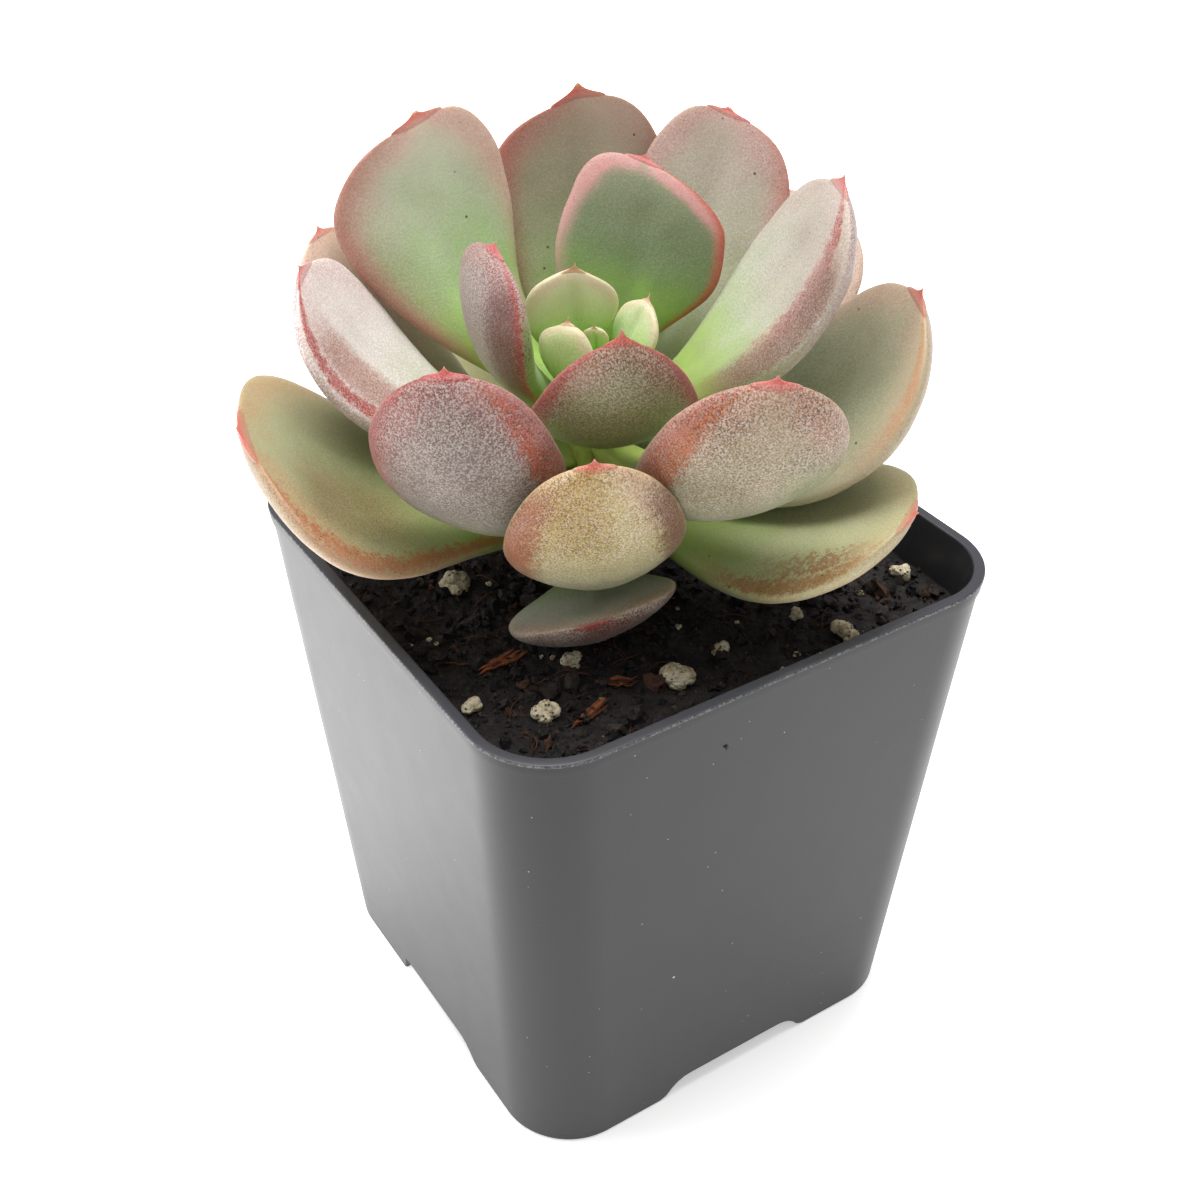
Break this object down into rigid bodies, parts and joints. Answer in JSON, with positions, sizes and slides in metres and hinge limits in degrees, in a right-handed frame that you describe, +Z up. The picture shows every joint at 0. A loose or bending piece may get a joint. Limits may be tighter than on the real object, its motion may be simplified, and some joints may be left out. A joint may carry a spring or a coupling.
{
  "type": "potted succulent",
  "caption": "Rosette succulent with plump, pink-edged leaves, growing from dark potting mix in a small square tapered nursery pot with corner feet.",
  "frame": {"origin": "on the ground, under the centre of the whole's bounding box; the pot's own axis is 1.6 mm to +X and 3.5 mm to -Y of it", "axes": "+Z up; X and Y along the pot's sides; the low leaf on its own points to the -X -Y corner"},
  "size_m": [0.0668, 0.062, 0.093],
  "materials": {
    "pot_plastic": "satin",
    "potting_mix": "matte",
    "stem": "matte",
    "leaf_low": "satin",
    "leaf_outer": "satin",
    "leaf_inner": "satin",
    "leaf_bud": "satin",
    "perlite": "matte",
    "bark": "matte"
  },
  "bodies": {
    "root": {"pot": "pot_plastic", "potting_mix": "potting_mix", "stem": "stem", "leaf_low_1": "leaf_low", "leaf_low_2": "leaf_low", "leaf_low_3": "leaf_low", "leaf_low_4": "leaf_low", "leaf_low_5": "leaf_low", "leaf_outer_1": "leaf_outer", "leaf_outer_2": "leaf_outer", "leaf_outer_3": "leaf_outer", "leaf_outer_4": "leaf_outer", "leaf_low_6": "leaf_low", "leaf_outer_5": "leaf_outer", "leaf_middle_1": "leaf_outer", "leaf_middle_2": "leaf_outer", "leaf_middle_3": "leaf_outer", "leaf_middle_4": "leaf_outer", "leaf_middle_5": "leaf_outer", "leaf_middle_6": "leaf_outer", "leaf_middle_7": "leaf_outer", "leaf_inner_1": "leaf_inner", "leaf_inner_2": "leaf_inner", "leaf_inner_3": "leaf_inner", "leaf_bud_1": "leaf_bud", "leaf_bud_2": "leaf_bud", "leaf_bud_3": "leaf_bud", "leaf_heart_1": "leaf_bud", "perlite_a": "perlite", "perlite_b": "perlite", "perlite_c": "perlite", "perlite_d": "perlite", "perlite_e": "perlite", "perlite_f": "perlite", "perlite_g": "perlite", "perlite_h": "perlite", "perlite_i": "perlite", "perlite_j": "perlite", "perlite_k": "perlite", "bark_a": "bark", "bark_b": "bark", "bark_c": "bark", "bark_d": "bark", "bark_e": "bark"}
  },
  "joints": []
}
